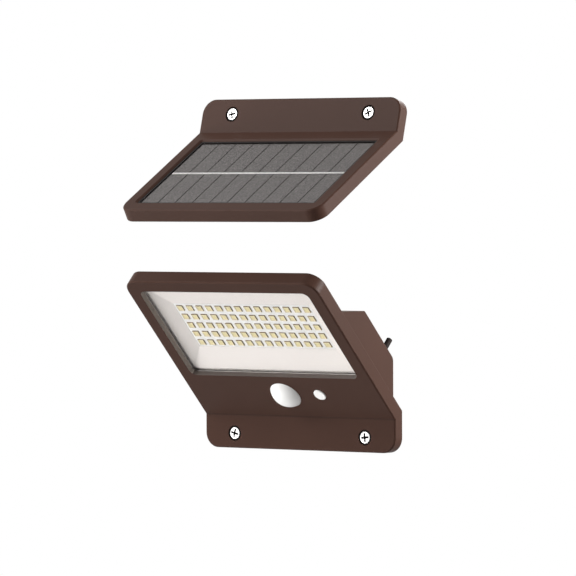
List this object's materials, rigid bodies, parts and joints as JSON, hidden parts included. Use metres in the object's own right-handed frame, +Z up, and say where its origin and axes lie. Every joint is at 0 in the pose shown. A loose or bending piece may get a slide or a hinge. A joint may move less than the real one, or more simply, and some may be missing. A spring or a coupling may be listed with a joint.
{
  "type": "solar security light",
  "caption": "Wall flood lamp with a tilted face, LED window, motion sensor dome and battery box, and a separate tilted solar unit above it",
  "frame": {"origin": "on the wall plane, midway between the lamp's two wall screws", "axes": "+Z up, -Y out of the wall towards the viewer, +X to the right as seen from the front"},
  "size_m": [0.17, 0.1425, 0.2432],
  "materials": {
    "housing": "dark brown moulded plastic, fine satin grain",
    "soft_black": "matte black soft seal",
    "black_plastic": "matte black",
    "screw_steel": "bright stainless",
    "tab_metal": "tinned strip",
    "clear_window": "clear, smooth",
    "white_plastic": "white, satin",
    "dome_plastic": "milky white",
    "board_white": "white coated board",
    "board_green": "green solder mask",
    "led_yellow": "yellow cast resin",
    "cell_grey": "dark grey silicon",
    "cell_sleeve": "blue sleeve over a metal can"
  },
  "bodies": {
    "light": {"lamp_front_housing": "housing", "lamp_back_housing": "housing", "housing_seal": "soft_black", "housing_screws": "screw_steel", "window_gasket": "soft_black", "window_lens": "clear_window", "reflector": "white_plastic", "led_board": "board_white", "led_chips": "led_yellow", "pir_lens": "dome_plastic", "pir_sensor": "screw_steel", "control_board": "board_green", "control_parts": "black_plastic", "control_screws": "screw_steel", "tact_switch": "black_plastic", "battery_cells": "cell_sleeve", "battery_cradle": "black_plastic", "battery_tabs": "tab_metal", "lamp_lead_sleeve": "soft_black", "lamp_wall_screws": "screw_steel", "solar_frame": "housing", "solar_backsheet": "board_white", "solar_cells": "cell_grey", "solar_ribbon": "tab_metal", "solar_cover": "clear_window", "panel_bead": "soft_black", "solar_back_cover": "housing", "solar_back_screws": "screw_steel", "solar_lead_gland": "black_plastic", "solar_wall_screws": "screw_steel"},
    "button": {"mode_button": "white_plastic"}
  },
  "joints": [
    {"name": "mode_button_press", "type": "slide", "parent": "light", "child": "button", "axis": [0, 0.7071, 0.7071], "range_m": [0, 0.0006], "stiffness_N_per_m": 1500}
  ]
}
